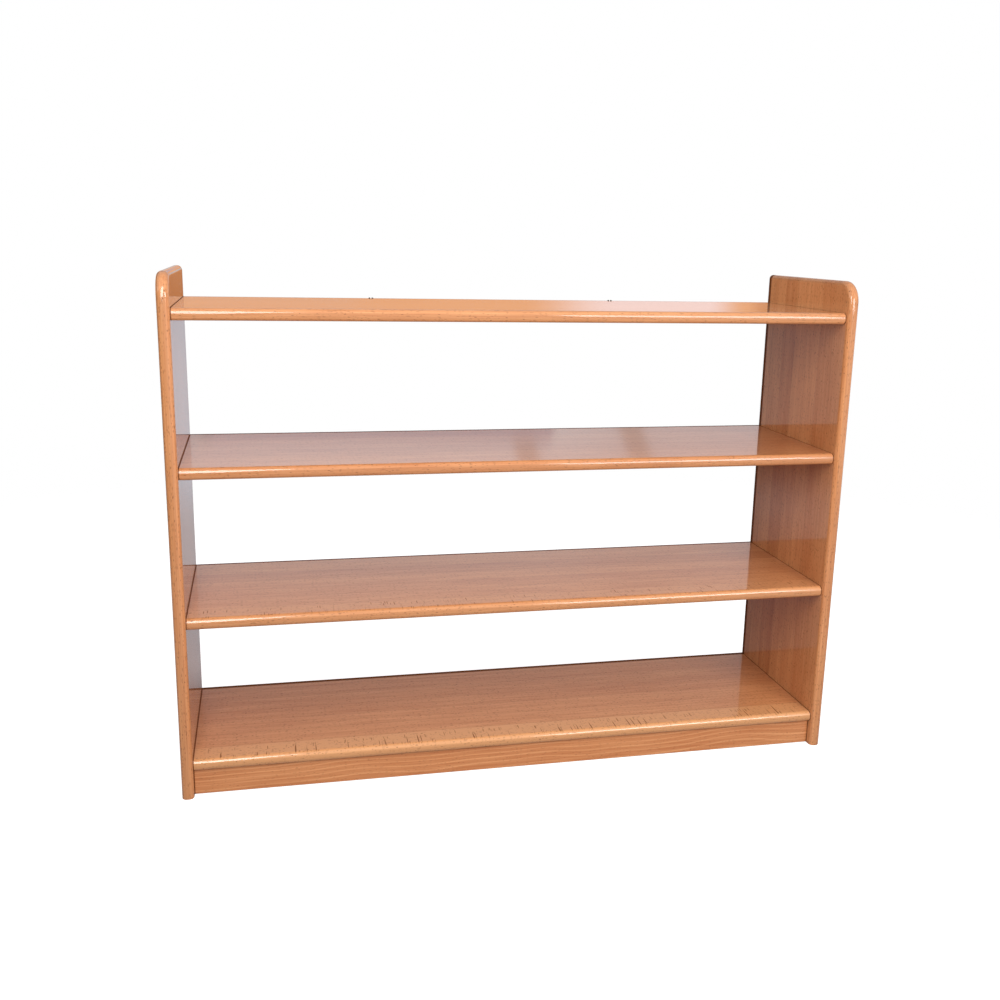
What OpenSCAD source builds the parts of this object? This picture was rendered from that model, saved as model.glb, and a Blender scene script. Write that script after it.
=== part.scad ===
// Open shelf unit for a child's room, in edge-glued beech boards.
// Two sides with a rounded top front corner carry four shelves and a plinth.
// X runs along the shelves, Y from front to back and Z up, in millimetres.
// The origin is on the floor, under the middle of the unit.

/* [Case] */
// Length of the shelves and of the plinth, between the sides
shelf_l = 1040; // [900:10:1200]
// Depth of the sides, front to back
side_d = 300; // [270:5:400]
// Thickness of the sides
side_t = 18; // [18:1:25]
// Thickness of the shelves
shelf_t = 18; // [18:1:25]
// Clear height of each of the three bays
bay_h = 212; // [150:1:320]
// Height of the sides above the top shelf
rim_h = 50; // [42:1:90]
// Distance of the shelves' noses behind the front of the sides
nose_setback = 7.5; // [2:0.5:15]

/* [Plinth] */
// Height of the plinth board
plinth_h = 41; // [40:1:90]
// Thickness of the plinth board
plinth_t = 18; // [18:1:25]
// Distance of the plinth's face behind the noses of the shelves
plinth_setback = 7.5; // [3:0.5:15]
// Gap under the plinth, so that the unit stands on its sides
floor_gap = 1; // [0.5:0.5:5]

/* [Rounding] */
// Radius of the top front corner of each side
corner_r = 35; // [15:1:40]
// Radius of the arrises along the front and the top of each side
side_arris_r = 8; // [2:0.5:8.5]
// Radius of the arrises along the nose of each shelf
nose_arris_r = 8; // [2:0.5:8.5]
// Width of the small bevel on the rear arrises
bevel = 1; // [0.5:0.25:2]

/* [Dowels] */
// Diameter of the dowels
dowel_d = 8; // [6:1:8]
// Length of the dowels
dowel_l = 35; // [30:1:38]
// How far a dowel goes into the side, or up into the bottom shelf
dowel_in_side = 12; // [8:0.5:14]
// Distance of a shelf's dowels from the middle of its depth
dowel_y = 68; // [40:1:80]
// Width of the bevel on the ends of a dowel
dowel_bevel = 1; // [0.5:0.25:1.5]
// Number of upright dowels between the plinth and the bottom shelf
plinth_dowel_n = 4; // [2:1:4]
// Spacing of the upright dowels along the plinth
plinth_dowel_pitch = 240; // [150:10:240]
// Play round a dowel in its hole
dowel_fit = 0.1; // [0.05:0.05:0.2]
// Depth of a hole past the end of the dowel, bolt or screw in it
hole_spare = 0.5; // [0.3:0.1:0.8]

/* [Cam fittings] */
// Diameter of a cam's seat in the face of its board
cam_d = 15; // [14:0.5:16]
// Distance of a cam's axis from the end of its board
cam_x = 34; // [33:1:40]
// Distance of a shelf's cams from the middle of its depth
cam_y = 100; // [92:1:110]
// How far a cam reaches past the axis of its bolt
cam_past = 4.5; // [4.2:0.1:6]
// Depth of a cam's face below the face of the board
cam_recess = 0.5; // [0.2:0.1:1]
// Width of the driver slots in a cam
driver_slot_w = 1.6; // [1.2:0.1:2]
// Length of the driver slots in a cam
driver_slot_l = 7; // [5:0.5:9]
// Depth of the driver slots in a cam
driver_slot_h = 2; // [1:0.25:2.5]
// Diameter of the bolt's thread in the side
thread_d = 5; // [4:0.5:6]
// How far a bolt is screwed into the side
thread_l = 11; // [8:0.5:14]
// Diameter of the hole for the bolt in the end of a board
bolt_hole_d = 8; // [7.5:0.25:9]
// Length of the collar that centres the bolt in that hole
collar_l = 4; // [2:0.5:8]
// Diameter of the bolt's shank
shank_d = 6; // [5:0.25:7]
// Diameter of the bolt's neck inside the cam
neck_d = 3.5; // [3:0.25:4]
// Diameter of the bolt's head inside the cam
head_d = 6.5; // [5.5:0.25:6.75]
// Length of the bolt's head
head_l = 3; // [2:0.25:4]
// Offset of the cam's pocket that draws the bolt tight
cam_throw = 0.75; // [0.5:0.05:1]
// Play round the metal parts in their holes
metal_fit = 0.15; // [0.05:0.05:0.2]
// Height of a plinth's bolt above the middle of the plinth, and of its dowel below it
plinth_joint_z = 8; // [7:0.5:9]

/* [Wall plates] */
// Distance between the two wall plates
plate_spacing = 426; // [300:2:560]
// Width of a wall plate
plate_w = 14; // [12:0.5:18]
// Thickness of a wall plate, let in flush with the shelf's rear edge
plate_t = 2; // [1.75:0.25:3]
// Length of a wall plate
plate_l = 38; // [36:1:60]
// Height of the plate's tip above the top shelf
plate_tip = 1.7; // [0.5:0.1:2.5]
// Width of the open slot in the plate's tip
plate_slot_w = 2.6; // [2:0.2:4]
// Depth of the open slot in the plate's tip
plate_slot_h = 2.8; // [2.5:0.1:3]
// Diameter of the hole for the screw into the wall
wall_hole_d = 5.5; // [4:0.5:6.5]
// Spacing of the two screws that hold a plate
plate_screw_gap = 8; // [7:0.5:8]
// Diameter of the screws that hold the plates
screw_d = 3.5; // [3:0.25:3.5]
// Diameter of the screw heads
screw_head_d = 6; // [5:0.25:6]
// Length of the screws
screw_l = 16; // [12:1:25]

/* [Hidden] */
$fn = 64;
LEVELS = [0, 1, 2, 3];
pitch = bay_h + shelf_t;
bottom_z = floor_gap + plinth_h;
side_h = bottom_z + 3 * pitch + shelf_t + rim_h;
front_y = -side_d / 2;
rear_y = side_d / 2;
nose_y = front_y + nose_setback;
shelf_d = rear_y - nose_y;
shelf_mid_y = (rear_y + nose_y) / 2;
plinth_y = nose_y + plinth_setback;
plinth_mid_y = plinth_y + plinth_t / 2;
plinth_mid_z = floor_gap + plinth_h / 2;
dowel_in_board = dowel_l - dowel_in_side;
head_rim = 0.3;
past = 1;
beech = [0.80, 0.55, 0.38];
pale_beech = [0.87, 0.70, 0.50];
zinc = [0.66, 0.67, 0.68];
bright_steel = [0.76, 0.75, 0.70];
dark_steel = [0.20, 0.18, 0.17];

// Height of a shelf's underside, counted from the bottom shelf
function under_z(level) = bottom_z + level * pitch;

// Section through a board's edge: a board of this reach, with both arrises rounded at its far end
module edge_section(reach, thick, r) {
    difference() {
        square([reach, thick]);
        for (flip = [0, 1])
            translate([reach - r, flip ? thick - r : r])
                mirror([0, flip ? 0 : 1])
                    difference() {
                        square([r + past, r + past]);
                        circle(r = r);
                    }
    }
}

// Bevel along an arris that runs up through the origin
module bevel_cut(length) {
    rotate([0, 0, 45])
        cube([bevel * sqrt(2), bevel * sqrt(2), 2 * length], center = true);
}

// Places a piece at both ends of the shelves, with its Z axis pointing from the side into the board
// and its X axis pointing to the face that holds the cams
module at_shelf_ends(level, from_middle) {
    for (flip = [0, 1], row = [-1, 1])
        mirror([flip, 0, 0])
            translate([-shelf_l / 2, shelf_mid_y + row * from_middle, under_z(level) + shelf_t / 2])
                rotate([0, 90, 0])
                    children();
}

module at_plinth_ends(height) {
    for (flip = [0, 1])
        mirror([flip, 0, 0])
            translate([-shelf_l / 2, plinth_mid_y, height])
                rotate([90, 0, 0])
                    rotate([0, 90, 0])
                        children();
}

module at_plinth_top() {
    for (i = [0 : plinth_dowel_n - 1])
        translate([(i - (plinth_dowel_n - 1) / 2) * plinth_dowel_pitch, plinth_mid_y, bottom_z])
            rotate([180, 0, 0])
                children();
}

module at_plates() {
    for (side = [-1, 1])
        translate([side * plate_spacing / 2, 0, 0])
            children();
}

// Dowel: the joint lies at Z = 0, with the side below it and the board above it
module dowel() {
    rotate_extrude()
        polygon([
            [0, -dowel_in_side],
            [dowel_d / 2 - dowel_bevel, -dowel_in_side],
            [dowel_d / 2, -dowel_in_side + dowel_bevel],
            [dowel_d / 2, dowel_in_board - dowel_bevel],
            [dowel_d / 2 - dowel_bevel, dowel_in_board],
            [0, dowel_in_board]
        ]);
}

module dowel_hole() {
    translate([0, 0, -dowel_in_side - hole_spare])
        cylinder(d = dowel_d + 2 * dowel_fit, h = dowel_l + 2 * hole_spare);
}

// Bolt: the thread lies in the side, the collar and the shank in the board, the head in the cam
module bolt() {
    collar_r = bolt_hole_d / 2 - metal_fit;
    neck_z = cam_x - cam_d / 2;
    rotate_extrude()
        polygon([
            [0, -thread_l],
            [thread_d / 4, -thread_l],
            [thread_d / 2, -thread_l + thread_d / 4],
            [thread_d / 2, 0],
            [collar_r, 0],
            [collar_r, collar_l],
            [shank_d / 2, collar_l + collar_r - shank_d / 2],
            [shank_d / 2, neck_z - (shank_d - neck_d) / 2],
            [neck_d / 2, neck_z],
            [neck_d / 2, cam_x - head_l / 2],
            [head_d / 2, cam_x - head_l / 2],
            [head_d / 2, cam_x],
            [head_d / 4, cam_x + head_l / 2],
            [0, cam_x + head_l / 2]
        ]);
}

module cam_seat(board_t) {
    translate([-cam_past, 0, cam_x])
        rotate([0, 90, 0])
            cylinder(d = cam_d, h = cam_past + board_t / 2 + past);
}

module bolt_hole(board_t) {
    translate([0, 0, -thread_l - hole_spare])
        cylinder(d = thread_d + 2 * metal_fit, h = thread_l + hole_spare);
    cylinder(d = bolt_hole_d, h = cam_x);
    cam_seat(board_t);
}

// Cam: a disc with an off-centre pocket for the bolt's head, a mouth that lets the head in,
// and a slot round the near side that the neck slides in while the cam is turned
module cam(board_t) {
    cam_r = cam_d / 2 - metal_fit;
    pocket_r = head_d / 2 + cam_throw + metal_fit;
    mouth_w = head_d + 2 * metal_fit;
    slot_w = neck_d + 2 * metal_fit;
    face_x = board_t / 2 - cam_recess;
    translate([0, 0, cam_x])
        rotate([0, 90, 0])
            difference() {
                translate([0, 0, -cam_past])
                    cylinder(r = cam_r, h = cam_past + face_x);
                translate([-cam_throw, 0, -mouth_w / 2])
                    cylinder(r = pocket_r, h = mouth_w);
                translate([-cam_r - past, -mouth_w / 2, -mouth_w / 2])
                    cube([cam_r + past, mouth_w, mouth_w]);
                translate([0, -cam_r - past, -slot_w / 2])
                    cube([cam_r + past, 2 * (cam_r + past), slot_w]);
                for (turn = [0, 90])
                    rotate([0, 0, turn])
                        translate([-driver_slot_l / 2, -driver_slot_w / 2, face_x - driver_slot_h])
                            cube([driver_slot_l, driver_slot_w, driver_slot_h + past]);
            }
}

// Side board on the left: front, top and rounded corner carry the same rounded section
module side_board() {
    corner_y = front_y + corner_r;
    corner_z = side_h - corner_r;
    difference() {
        translate([-shelf_l / 2 - side_t, 0, 0])
            union() {
                translate([0, rear_y, 0])
                    rotate([0, 0, -90])
                        linear_extrude(corner_z)
                            edge_section(side_d, side_t, side_arris_r);
                translate([0, rear_y, corner_z])
                    rotate([90, 0, 0])
                        mirror([1, -1, 0])
                            linear_extrude(rear_y - corner_y)
                                edge_section(corner_r, side_t, side_arris_r);
                translate([0, corner_y, corner_z])
                    rotate([0, -90, 0])
                        mirror([0, 0, 1])
                            rotate([0, 0, -90])
                                rotate_extrude(angle = 90)
                                    edge_section(corner_r, side_t, side_arris_r);
            }
        for (x = [-side_t, 0])
            translate([-shelf_l / 2 + x, rear_y, side_h / 2])
                bevel_cut(side_h);
        for (level = LEVELS) {
            at_shelf_ends(level, dowel_y) dowel_hole();
            at_shelf_ends(level, cam_y) bolt_hole(shelf_t);
        }
        at_plinth_ends(plinth_mid_z - plinth_joint_z) dowel_hole();
        at_plinth_ends(plinth_mid_z + plinth_joint_z) bolt_hole(plinth_t);
    }
}

// Shelf with a rounded nose, holes in its ends and cam seats in its underside
module shelf_board(level) {
    difference() {
        translate([-shelf_l / 2, rear_y, under_z(level)])
            rotate([0, 0, -90])
                rotate([90, 0, 0])
                    mirror([0, 0, 1])
                        linear_extrude(shelf_l)
                            edge_section(shelf_d, shelf_t, nose_arris_r);
        for (z = [0, shelf_t])
            translate([0, rear_y, under_z(level) + z])
                rotate([0, 90, 0])
                    bevel_cut(shelf_l);
        at_shelf_ends(level, dowel_y) dowel_hole();
        at_shelf_ends(level, cam_y) bolt_hole(shelf_t);
    }
}

module plinth_board() {
    difference() {
        translate([-shelf_l / 2, plinth_y, floor_gap])
            cube([shelf_l, plinth_t, plinth_h]);
        at_plinth_ends(plinth_mid_z - plinth_joint_z) dowel_hole();
        at_plinth_ends(plinth_mid_z + plinth_joint_z) bolt_hole(plinth_t);
        at_plinth_top() dowel_hole();
    }
}

// Wall plate in the plane of the shelf's rear edge, with its rear face on that plane
module plate_outline() {
    translate([-plate_w / 2, plate_w / 2])
        square([plate_w, plate_l - plate_w]);
    for (y = [plate_w / 2, plate_l - plate_w / 2])
        translate([0, y])
            circle(d = plate_w);
}

module at_plate_screws() {
    for (row = [-1, 1])
        translate([0, rear_y, under_z(3) + shelf_t / 2 + row * plate_screw_gap / 2])
            rotate([90, 0, 0])
                children();
}

module screw(play = 0, spare = 0) {
    r = screw_d / 2 + play;
    head_r = screw_head_d / 2 + play;
    rotate_extrude()
        polygon([
            [0, -spare],
            [head_r, -spare],
            [head_r, head_rim],
            [r, head_rim + head_r - r],
            [r, screw_l - screw_d + spare],
            [play / 2, screw_l + spare],
            [0, screw_l + spare]
        ]);
}

module wall_plate() {
    plate_top = under_z(3) + shelf_t + plate_tip;
    difference() {
        translate([0, rear_y, plate_top - plate_l])
            rotate([90, 0, 0])
                difference() {
                    linear_extrude(plate_t)
                        plate_outline();
                    translate([-plate_slot_w / 2, plate_l - plate_slot_h, -past])
                        cube([plate_slot_w, plate_slot_h + past, plate_t + 2 * past]);
                    translate([0, plate_w / 2, -past])
                        cylinder(d = wall_hole_d, h = plate_t + 2 * past);
                }
        at_plate_screws() screw(metal_fit, hole_spare);
    }
}

module left_side() color(beech) side_board();
module right_side() color(beech) mirror([1, 0, 0]) side_board();

module top_shelf() color(beech)
    difference() {
        shelf_board(3);
        at_plates() {
            translate([-plate_w / 2 - metal_fit, rear_y - plate_t, under_z(3) - past])
                cube([plate_w + 2 * metal_fit, plate_t + past, shelf_t + 2 * past]);
            at_plate_screws() screw(metal_fit, hole_spare);
        }
    }

module upper_shelf() color(beech) shelf_board(2);
module lower_shelf() color(beech) shelf_board(1);

module bottom_shelf() color(beech)
    difference() {
        shelf_board(0);
        at_plinth_top() dowel_hole();
    }

module plinth() color(beech) plinth_board();

module shelf_dowels(level) color(pale_beech) at_shelf_ends(level, dowel_y) dowel();
module top_shelf_dowels() shelf_dowels(3);
module upper_shelf_dowels() shelf_dowels(2);
module lower_shelf_dowels() shelf_dowels(1);
module bottom_shelf_dowels() shelf_dowels(0);
module plinth_end_dowels() color(pale_beech) at_plinth_ends(plinth_mid_z - plinth_joint_z) dowel();
module plinth_top_dowels() color(pale_beech) at_plinth_top() dowel();

module shelf_bolts(level) color(bright_steel) at_shelf_ends(level, cam_y) bolt();
module top_shelf_bolts() shelf_bolts(3);
module upper_shelf_bolts() shelf_bolts(2);
module lower_shelf_bolts() shelf_bolts(1);
module bottom_shelf_bolts() shelf_bolts(0);
module plinth_bolts() color(bright_steel) at_plinth_ends(plinth_mid_z + plinth_joint_z) bolt();

module shelf_cams(level) color(zinc) at_shelf_ends(level, cam_y) cam(shelf_t);
module top_shelf_cams() shelf_cams(3);
module upper_shelf_cams() shelf_cams(2);
module lower_shelf_cams() shelf_cams(1);
module bottom_shelf_cams() shelf_cams(0);
module plinth_cams() color(zinc) at_plinth_ends(plinth_mid_z + plinth_joint_z) cam(plinth_t);

module left_wall_plate() color(dark_steel) translate([-plate_spacing / 2, 0, 0]) wall_plate();
module right_wall_plate() color(dark_steel) translate([plate_spacing / 2, 0, 0]) wall_plate();
module wall_plate_screws() color(bright_steel) at_plates() at_plate_screws() screw();

left_side();
right_side();
top_shelf();
upper_shelf();
lower_shelf();
bottom_shelf();
plinth();
top_shelf_dowels();
upper_shelf_dowels();
lower_shelf_dowels();
bottom_shelf_dowels();
plinth_end_dowels();
plinth_top_dowels();
top_shelf_bolts();
upper_shelf_bolts();
lower_shelf_bolts();
bottom_shelf_bolts();
plinth_bolts();
top_shelf_cams();
upper_shelf_cams();
lower_shelf_cams();
bottom_shelf_cams();
plinth_cams();
left_wall_plate();
right_wall_plate();
wall_plate_screws();
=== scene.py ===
# %% [markdown]
# A low open shelf unit for a child's room, in solid beech under clear gloss lacquer.
# Two sides with a rounded top front corner carry four shelves and a plinth that is set back.
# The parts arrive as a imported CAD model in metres, and nothing here moves or resizes them.
# This lesson saws the boards anew with finer curves, gives them their wood, turns the small
# fittings in full detail, and lights the unit as on a catalogue page.

import math

import bmesh
import bpy
from mathutils import Matrix, Vector


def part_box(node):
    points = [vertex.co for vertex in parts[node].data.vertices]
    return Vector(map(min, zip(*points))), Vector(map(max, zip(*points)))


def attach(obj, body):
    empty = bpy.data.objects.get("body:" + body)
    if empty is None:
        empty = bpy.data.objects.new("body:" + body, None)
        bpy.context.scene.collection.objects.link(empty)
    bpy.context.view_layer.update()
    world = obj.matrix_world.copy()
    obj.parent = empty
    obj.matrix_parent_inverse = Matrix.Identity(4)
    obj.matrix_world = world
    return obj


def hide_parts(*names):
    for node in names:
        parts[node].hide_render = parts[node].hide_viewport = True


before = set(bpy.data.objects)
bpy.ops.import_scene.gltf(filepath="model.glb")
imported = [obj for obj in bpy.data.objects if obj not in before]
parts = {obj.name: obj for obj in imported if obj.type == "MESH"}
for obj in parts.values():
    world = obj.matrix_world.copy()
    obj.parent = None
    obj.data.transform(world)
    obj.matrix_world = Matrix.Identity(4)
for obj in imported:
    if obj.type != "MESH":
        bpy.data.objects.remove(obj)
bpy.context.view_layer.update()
MM = 0.001
print("parts in the frame:", len(parts))

# %% [markdown]
# Every finish and shape below is a formula: so much pale wood plus so much ring, or a radius less the
# depth of a thread. It could be wired up by hand, node by node, but then nobody can read it. A small
# class that stands for one wire lets Python's own signs add the Math nodes.

# %% Wires
class Wire:
    """One output socket of a node tree. Arithmetic on it adds Math nodes to its tree."""

    def __init__(self, tree, socket):
        self.tree = tree
        self.socket = socket

    def __add__(self, other):
        return self.tree.math("ADD", self, other)

    def __radd__(self, other):
        return self.tree.math("ADD", other, self)

    def __sub__(self, other):
        return self.tree.math("SUBTRACT", self, other)

    def __rsub__(self, other):
        return self.tree.math("SUBTRACT", other, self)

    def __mul__(self, other):
        return self.tree.math("MULTIPLY", self, other)

    def __rmul__(self, other):
        return self.tree.math("MULTIPLY", other, self)

    def __truediv__(self, other):
        return self.tree.math("DIVIDE", self, other)

    def __rtruediv__(self, other):
        return self.tree.math("DIVIDE", other, self)

    def __pow__(self, other):
        return self.tree.math("POWER", self, other)

    def floor(self):
        return self.tree.math("FLOOR", self)

    def fract(self):
        return self.tree.math("FRACT", self)

    def size(self):
        return self.tree.math("ABSOLUTE", self)

    def sine(self):
        return self.tree.math("SINE", self)

    def cosine(self):
        return self.tree.math("COSINE", self)

    def least(self, other):
        return self.tree.math("MINIMUM", self, other)

    def most(self, other):
        return self.tree.math("MAXIMUM", self, other)

    def over(self, limit):
        return self.tree.math("GREATER_THAN", self, limit)

    def rises(self, low, high):
        """0 up to low, 1 from high, and a smooth climb between. It falls where high is the smaller."""
        return self.tree.node("ShaderNodeMapRange", {"interpolation_type": "SMOOTHSTEP"},
                              {"Value": self, "From Min": low, "From Max": high})


print("wires can be added, scaled and clamped")

# %% [markdown]
# What isn't arithmetic comes from one method. It adds a node, makes its settings first, because they
# decide which sockets there are, and then gives those sockets numbers or wires. The same class writes
# shaders and Geometry Nodes, so there is one way to read both.

# %% Trees
class Tree:
    """A node tree that is written by its method node."""

    def __init__(self, tree):
        self.tree = tree

    def node(self, kind, settings=None, values=None, out=0):
        """Adds a node, makes its settings, then gives its sockets numbers or wires. Returns its outputs."""
        made = self.tree.nodes.new(kind)
        for name, setting in (settings or {}).items():
            setattr(made, name, setting)
        for name, value in (values or {}).items():
            if isinstance(value, Wire):
                self.tree.links.new(value.socket, made.inputs[name])
            else:
                made.inputs[name].default_value = value
        if isinstance(out, tuple):
            return [Wire(self, made.outputs[name]) for name in out]
        return Wire(self, made.outputs[out]) if len(made.outputs) else made

    def math(self, operation, *values):
        return self.node("ShaderNodeMath", {"operation": operation}, dict(enumerate(values)))

    def vector(self, x, y, z):
        return self.node("ShaderNodeCombineXYZ", None, {0: x, 1: y, 2: z})

    def split(self, vector):
        return self.node("ShaderNodeSeparateXYZ", None, {0: vector}, (0, 1, 2))

    def scaled(self, vector, share):
        return self.node("ShaderNodeVectorMath", {"operation": "SCALE"}, {0: vector, "Scale": share})

    def noise(self, vector, detail=2.0):
        """Soft noise from 0 to 1, one blotch to a unit of length."""
        return self.node("ShaderNodeTexNoise", None, {"Vector": vector, "Scale": 1.0, "Detail": detail})

    def mix(self, a, b, share):
        """From colour a to colour b as share goes from 0 to 1."""
        return self.node("ShaderNodeMix", {"data_type": "RGBA"}, {0: share, 6: a, 7: b}, 2)


print("trees can be written")

# %% [markdown]
# A new material comes with its shader wired up. All patterns are fixed to the object's own coordinates,
# in metres, so a mark of 5 mm is 5 mm long on every piece.

# %% New materials
def new_material(name):
    """An empty material: its tree, its shader node and the object's own coordinates."""
    material = bpy.data.materials.new(name)
    material.use_nodes = True
    tree = Tree(material.node_tree)
    shader = next(n for n in material.node_tree.nodes if n.type == "BSDF_PRINCIPLED")
    place = tree.node("ShaderNodeTexCoord", None, None, "Object")
    return material, tree, shader, place


def feed(tree, shader, **inputs):
    """Gives the shader's sockets numbers or wires. Underscores stand for the blanks in their names."""
    for name, value in inputs.items():
        socket = shader.inputs[name.replace("_", " ")]
        if isinstance(value, Wire):
            tree.tree.links.new(value.socket, socket)
        else:
            socket.default_value = value


def bump(tree, height, depth):
    """Turns a height from 0 to 1 into a normal, for a relief that is depth metres deep."""
    return tree.node("ShaderNodeBump", None, {"Strength": 1.0, "Distance": depth, "Height": height})


print("new materials can be made")

# %% [markdown]
# Beech is a pale, salmon-tinted wood. Its year rings are faint, and its mark is the rays:
# thousands of short dark flecks that lie along the grain on a flat-sawn face, and that turn into
# bold strokes across the grain on a quarter-sawn one.
# A picture wrapped round each board would smear on its rounded edges, so the wood here is solid, and
# every face simply cuts through it. The marks come first: dashes, each in a cell of its own.

# %% Marks in the wood
PALE_BEECH = (0.720, 0.330, 0.138, 1)
DEEP_BEECH = (0.480, 0.165, 0.055, 1)
GOLDEN_BEECH = (0.700, 0.355, 0.150, 1)
# The brown of the rays also colours the lines of painted shade.
RAY_AND_SHADE_BROWN = (0.130, 0.042, 0.016, 1)
STAVE = 45 * MM
RING = 3.2 * MM
SMALLEST_DASH, DASH_SPREAD = 0.20, 0.25


def dashes(tree, u, v, w, length, width, shown):
    """Scattered dashes, length along u and width across, of which the share shown is kept."""
    cell = tree.vector(u / length, v / width, w / width)
    near, tint = tree.node("ShaderNodeTexVoronoi", None, {"Vector": cell, "Scale": 1.0},
                           ("Distance", "Color"))
    kept, size, _ = tree.split(tint)
    reach = SMALLEST_DASH + DASH_SPREAD * size
    return near.rises(reach, reach * 0.5) * kept.rises(1 - shown, 1.02 - shown)


def small_marks(tree, u, v, w):
    """The marks of a flat-sawn face: flecks, specks and a few pores."""
    flecks = dashes(tree, u, v, w, length=9 * MM, width=2.3 * MM, shown=0.55) * 0.30
    specks = dashes(tree, u + 0.7, v, w, length=6 * MM, width=1.9 * MM, shown=0.34) * 0.50
    pores = dashes(tree, u + 0.4, v, w, length=5 * MM, width=2.6 * MM, shown=0.05) * 0.66
    return flecks.most(specks).most(pores)


print("stave", STAVE / MM, "mm, year ring", round(RING / MM, 1), "mm")

# %% [markdown]
# Between its marks the wood is never one colour. Fine fibres, longer streaks and soft clouds all follow
# the grain, so each of them is a noise that is stretched that way.

# %% Grain
FIBRES, STREAKS, CLOUDS = (12, 360), (1.1, 70), (6, 22)


def grain(tree, u, v, w, blotches):
    """Soft noise with so many blotches to a metre, along the grain and across it."""
    along, across = blotches
    return tree.noise(tree.vector(u * along, v * across, w * across), 2.0)


print("fibres to a metre, along and across the grain:", FIBRES)

# %% [markdown]
# A board of this unit is glued up from staves about 45 mm wide, each cut from another place in the tree.
# Each stave therefore has its own pith line somewhere below it, and its year rings are the distance
# to that line. Its tone, and where its grain wanders, are its own too.
# The plinth is one wide stave cut well away from the pith, so its rings run along it in thin pale lines.

# %% Year rings
PITH_SPREAD = 90 * MM
PITH_LEAN = 0.03
PITH_NEAR = 16 * MM
PITH_RANGE = 45 * MM
WANDER = 12 * MM


def year_rings(tree, u, u_here, v, w, across, chance, stave, rift, wave, ring):
    """Where the late wood and the pale early wood lie, from 0 to 1, in staves with a pith line each."""
    wander = tree.noise(tree.vector(u_here * 4.0, v * 8, w * 8), 1.0) - 0.5
    pith_v = (across - 0.5) * stave - (chance[0] - 0.5) * PITH_SPREAD + u * PITH_LEAN * (chance[1] - 0.5)
    pith_v = pith_v + rift
    pith_w = w + PITH_NEAR + PITH_RANGE * chance[1]
    radius = (pith_v * pith_v + pith_w * pith_w) ** 0.5 + wander * (WANDER * wave)
    turn = (radius / ring).fract()
    late_wood = turn.rises(0.10, 0.85) * turn.rises(1.0, 0.88)
    early_wood = turn.rises(0.0, 0.12) * turn.rises(0.34, 0.20)
    return late_wood, early_wood


print("pith lines lie", PITH_NEAR / MM, "to", round((PITH_NEAR + PITH_RANGE) / MM), "mm below the staves")

# %% [markdown]
# The front stave of the bottom shelf is golden and quarter-sawn. It has bold strokes across the grain, in
# loose groups, up to 40 mm long. The shelf above it has mostly short ones. They thin out where the front
# edge is rounded.

# %% Bold strokes
ROUNDED_FROM, FLAT_FROM = 3 * MM, 8 * MM


def ray_strokes(tree, u, u_here, v, w, first, seed, bold):
    """Strokes across the grain of a stave that starts at first."""
    flat = v.rises(first + ROUNDED_FROM, first + FLAT_FROM) * 0.8 + 0.2
    group = tree.noise(tree.vector(u * 15, 0.0, seed), 1.0).rises(0.32, 0.52)
    lean = u_here + v * 0.12 * (tree.noise(tree.vector(u * 25, 0.0, seed + 4), 0.0) - 0.5)
    long_ones = dashes(tree, v, lean, w * 0.4, length=62 * MM, width=3 * MM, shown=0.26) * (0.75 * bold)
    short_ones = dashes(tree, v + 0.3, lean, w * 0.4, length=24 * MM, width=2.5 * MM, shown=0.34) * 0.62
    return long_ones.most(short_ones) * flat * (0.10 + 0.90 * group)


print("strokes can be scattered")

# %% [markdown]
# Where a board butts against another, and along its rear arris, a brown line of painted shade is drawn:
# the shade that falls in the joint and on the rear arris. On a side it lies on the inner face only.

# %% Painted shade lines
# How dark the painted shade lines are, and where they fade in.
PAINTED_SHADE_SHARE = 0.92
JOINT_SHADE_FROM, JOINT_SHADE_FULL = 1.6 * MM, 0.9 * MM
ARRIS_UNSHADED, ARRIS_SHADED = 0.15 * MM, 0.45 * MM


def rear_painted_shade(v, w, rear, line, inner):
    """How much painted shade lies along the rear arris, out to inner where the board is a side."""
    # Painted shade along the rear arris, kept off the rear face itself.
    painted_shade = v.rises(rear - line, rear - 0.7 * line) * v.rises(rear - ARRIS_UNSHADED, rear - ARRIS_SHADED)
    if inner is not None:
        painted_shade = painted_shade * w.size().rises(inner, inner - 1 * MM)
    return painted_shade * PAINTED_SHADE_SHARE


def joint_painted_shade(u, ends):
    """How much painted shade lies in the butt joints at both ends of a board."""
    # Painted shade in the butt joints at both ends.
    return u.size().rises(ends - JOINT_SHADE_FROM, ends - JOINT_SHADE_FULL) * PAINTED_SHADE_SHARE


print("dust covers at most", PAINTED_SHADE_SHARE, "of the wood")

# %% [markdown]
# The bold strokes have no gloss, nor have the lines of painted shade, so they are a second, dull shader that
# is mixed in.

# %% Dull marks
def mix_in_dull(material, tree, shader, colour, share):
    """Gives a dull shader of one colour a share of the material's surface."""
    dull = tree.node("ShaderNodeBsdfDiffuse", None, {"Color": colour})
    glossy = Wire(tree, shader.outputs["BSDF"])
    both = tree.node("ShaderNodeMixShader", None, {0: share, 1: glossy, 2: dull})
    surface = material.node_tree.nodes["Material Output"].inputs["Surface"]
    tree.tree.links.new(both.socket, surface)


print("dull marks can be mixed in")

# %% [markdown]
# Now all of it comes together under the lacquer, which is the shader's coat. Each part of the wood adds
# its share to one tone, from pale to deep beech, and the small marks darken that.

# %% Beech
STAVE_TONE, FIBRE_TONE, STREAK_TONE, CLOUD_TONE = 0.34, 0.90, 0.55, 0.45
FRONT_SOFT = 0.6 * MM
GLUE_WIDE, GLUE_NARROW, GLUE_SHADE = 0.8 * MM, 0.3 * MM, 0.14
RELIEF = 0.005 * MM


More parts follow.
